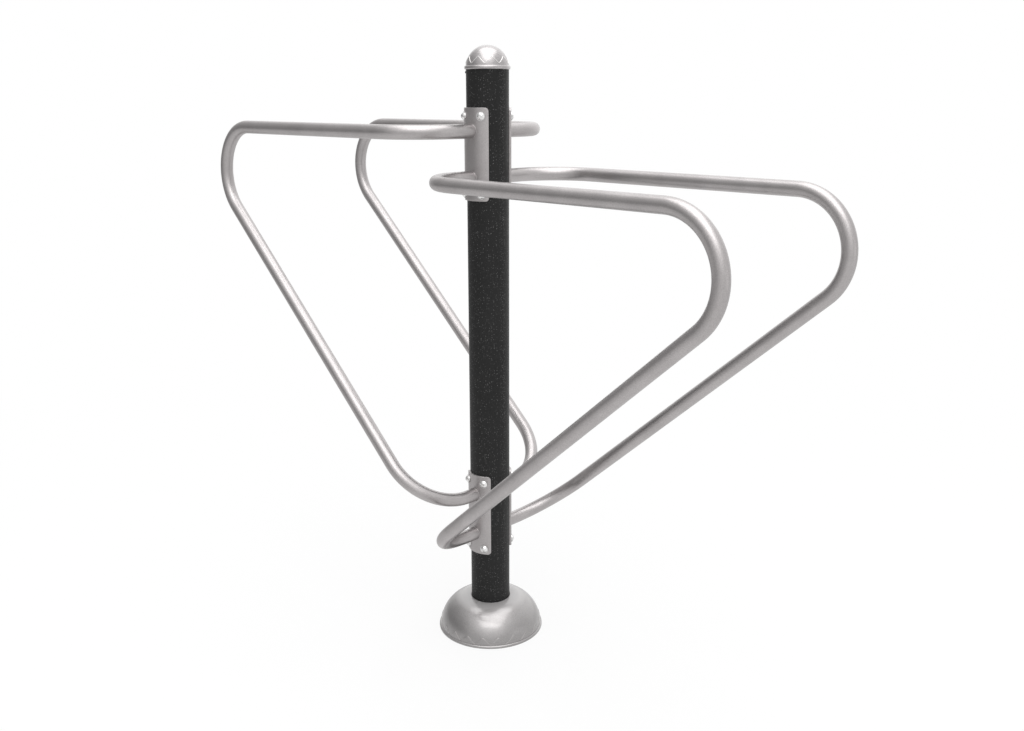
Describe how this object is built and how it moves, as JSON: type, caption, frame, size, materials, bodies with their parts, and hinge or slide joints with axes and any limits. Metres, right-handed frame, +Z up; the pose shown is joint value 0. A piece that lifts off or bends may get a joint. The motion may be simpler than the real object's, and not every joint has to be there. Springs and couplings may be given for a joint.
{
  "type": "outdoor biceps triceps bar",
  "caption": "Outdoor gym station: a round post on a covered floor flange carries a high and a low pair of bent tube bars on screwed saddle plates.",
  "frame": {"origin": "on the ground at the post's centre, in the underside plane of the floor flange", "axes": "+Z up along the post, -X towards the high pair of bars, +X towards the low pair, -Y towards the front bars"},
  "size_m": [1.8882, 0.56, 1.684],
  "materials": {
    "post_coat": "satin, fine powder-coat texture",
    "galvanised_steel": "matt, hot-dip galvanised",
    "cast_aluminium": "satin, fine cast grain",
    "black_screw": "satin black",
    "saddle_coat": "satin silver-grey coating",
    "bar_coat": "satin silver-grey coating",
    "stainless_screw": "bright stainless",
    "stainless_washer": "satin stainless",
    "bush_steel": "plain turned steel"
  },
  "bodies": {
    "root": {"post_tube": "post_coat", "base_flange": "galvanised_steel", "base_gussets": "galvanised_steel", "base_cover": "cast_aluminium", "post_cap": "cast_aluminium", "cap_screws": "black_screw", "upper_front_saddle": "saddle_coat", "upper_rear_saddle": "saddle_coat", "lower_front_saddle": "saddle_coat", "lower_rear_saddle": "saddle_coat", "high_front_bar": "bar_coat", "high_rear_bar": "bar_coat", "low_front_bar": "bar_coat", "low_rear_bar": "bar_coat", "upper_front_screws": "stainless_screw", "upper_rear_screws": "stainless_screw", "lower_front_screws": "stainless_screw", "lower_rear_screws": "stainless_screw", "upper_front_washers": "stainless_washer", "upper_rear_washers": "stainless_washer", "lower_front_washers": "stainless_washer", "lower_rear_washers": "stainless_washer", "upper_front_bushes": "bush_steel", "upper_rear_bushes": "bush_steel", "lower_front_bushes": "bush_steel", "lower_rear_bushes": "bush_steel"}
  },
  "joints": []
}
